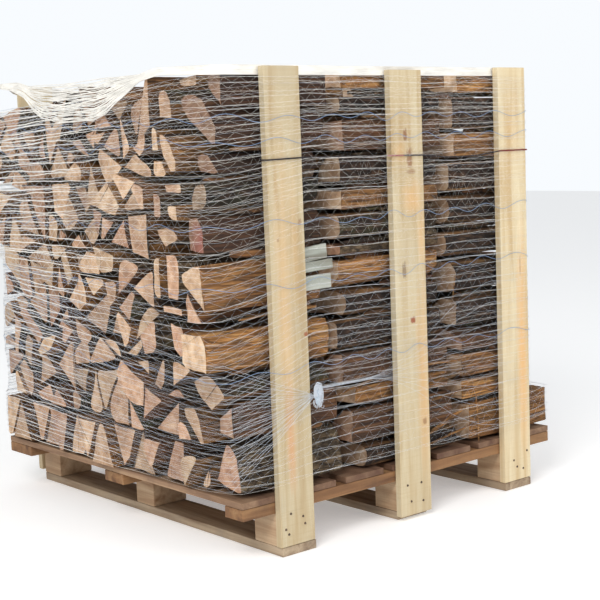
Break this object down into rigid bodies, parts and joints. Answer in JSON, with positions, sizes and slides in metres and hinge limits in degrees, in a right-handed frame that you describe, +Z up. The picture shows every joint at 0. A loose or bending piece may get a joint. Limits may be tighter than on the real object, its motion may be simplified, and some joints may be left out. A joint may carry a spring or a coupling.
{
  "type": "pallet of firewood",
  "caption": "Square wooden pallet loaded with rows of split firewood between nailed-up boards, tied with twine and wrapped in white knitted net.",
  "frame": {"origin": "on the floor, below the middle of the whole pallet's box", "axes": "+X along the front of the load to its right, +Y to its back, +Z up; sawn log ends face -X and +X, and the three uprights that the picture shows face -Y"},
  "size_m": [1.1102, 1.0632, 1.0627],
  "materials": {
    "skid": "weathered sawn softwood, grey-beige, dusty",
    "block": "sawn softwood block, matt",
    "stringer": "orange-brown sawn softwood, matt",
    "deck_board": "thin sawn boards, stained brown",
    "upright": "fresh sawn pine with fine saw marks, knots and tan streaks",
    "log": "split firewood: rough bark, fibrous split faces, pale sawn ends",
    "log_row": "split firewood: rough bark, fibrous split faces, pale sawn ends",
    "twine": "twisted twine, black with dark red stretches",
    "net": "knitted plastic net, white with a few pale blue threads"
  },
  "bodies": {
    "root": {"block_left_back": "block", "block_left_front": "block", "block_left_middle": "block", "block_middle_back": "block", "block_middle_front": "block", "block_middle_middle": "block", "block_right_back": "block", "block_right_front": "block", "block_right_middle": "block", "deck_board_1": "deck_board", "deck_board_2": "deck_board", "deck_board_3": "deck_board", "deck_board_4": "deck_board", "deck_board_5": "deck_board", "deck_board_6": "deck_board", "deck_board_7": "deck_board", "log_left_front_01": "log", "log_left_front_02": "log", "log_left_front_03": "log", "log_left_front_04": "log", "log_left_front_05": "log", "log_left_front_06": "log", "log_left_front_07": "log", "log_left_front_08": "log", "log_left_front_09": "log", "log_left_front_10": "log", "log_middle_front_01": "log", "log_middle_front_02": "log", "log_middle_front_03": "log", "log_middle_front_04": "log", "log_middle_front_05": "log", "log_middle_front_06": "log", "log_middle_front_07": "log", "log_middle_front_08": "log", "log_middle_front_09": "log", "log_right_front_01": "log", "log_right_front_02": "log", "log_right_front_03": "log", "log_right_front_04": "log", "log_right_front_05": "log", "log_right_front_06": "log", "log_right_front_07": "log", "log_right_front_08": "log", "log_row_left": "log_row", "log_row_middle": "log_row", "log_row_right": "log_row", "net": "net", "skid_left": "skid", "skid_middle": "skid", "skid_right": "skid", "stringer_back": "stringer", "stringer_front": "stringer", "stringer_middle": "stringer", "twine": "twine", "upright_back_left": "upright", "upright_back_middle": "upright", "upright_back_right": "upright", "upright_front_left": "upright", "upright_front_middle": "upright", "upright_front_right": "upright"}
  },
  "joints": []
}
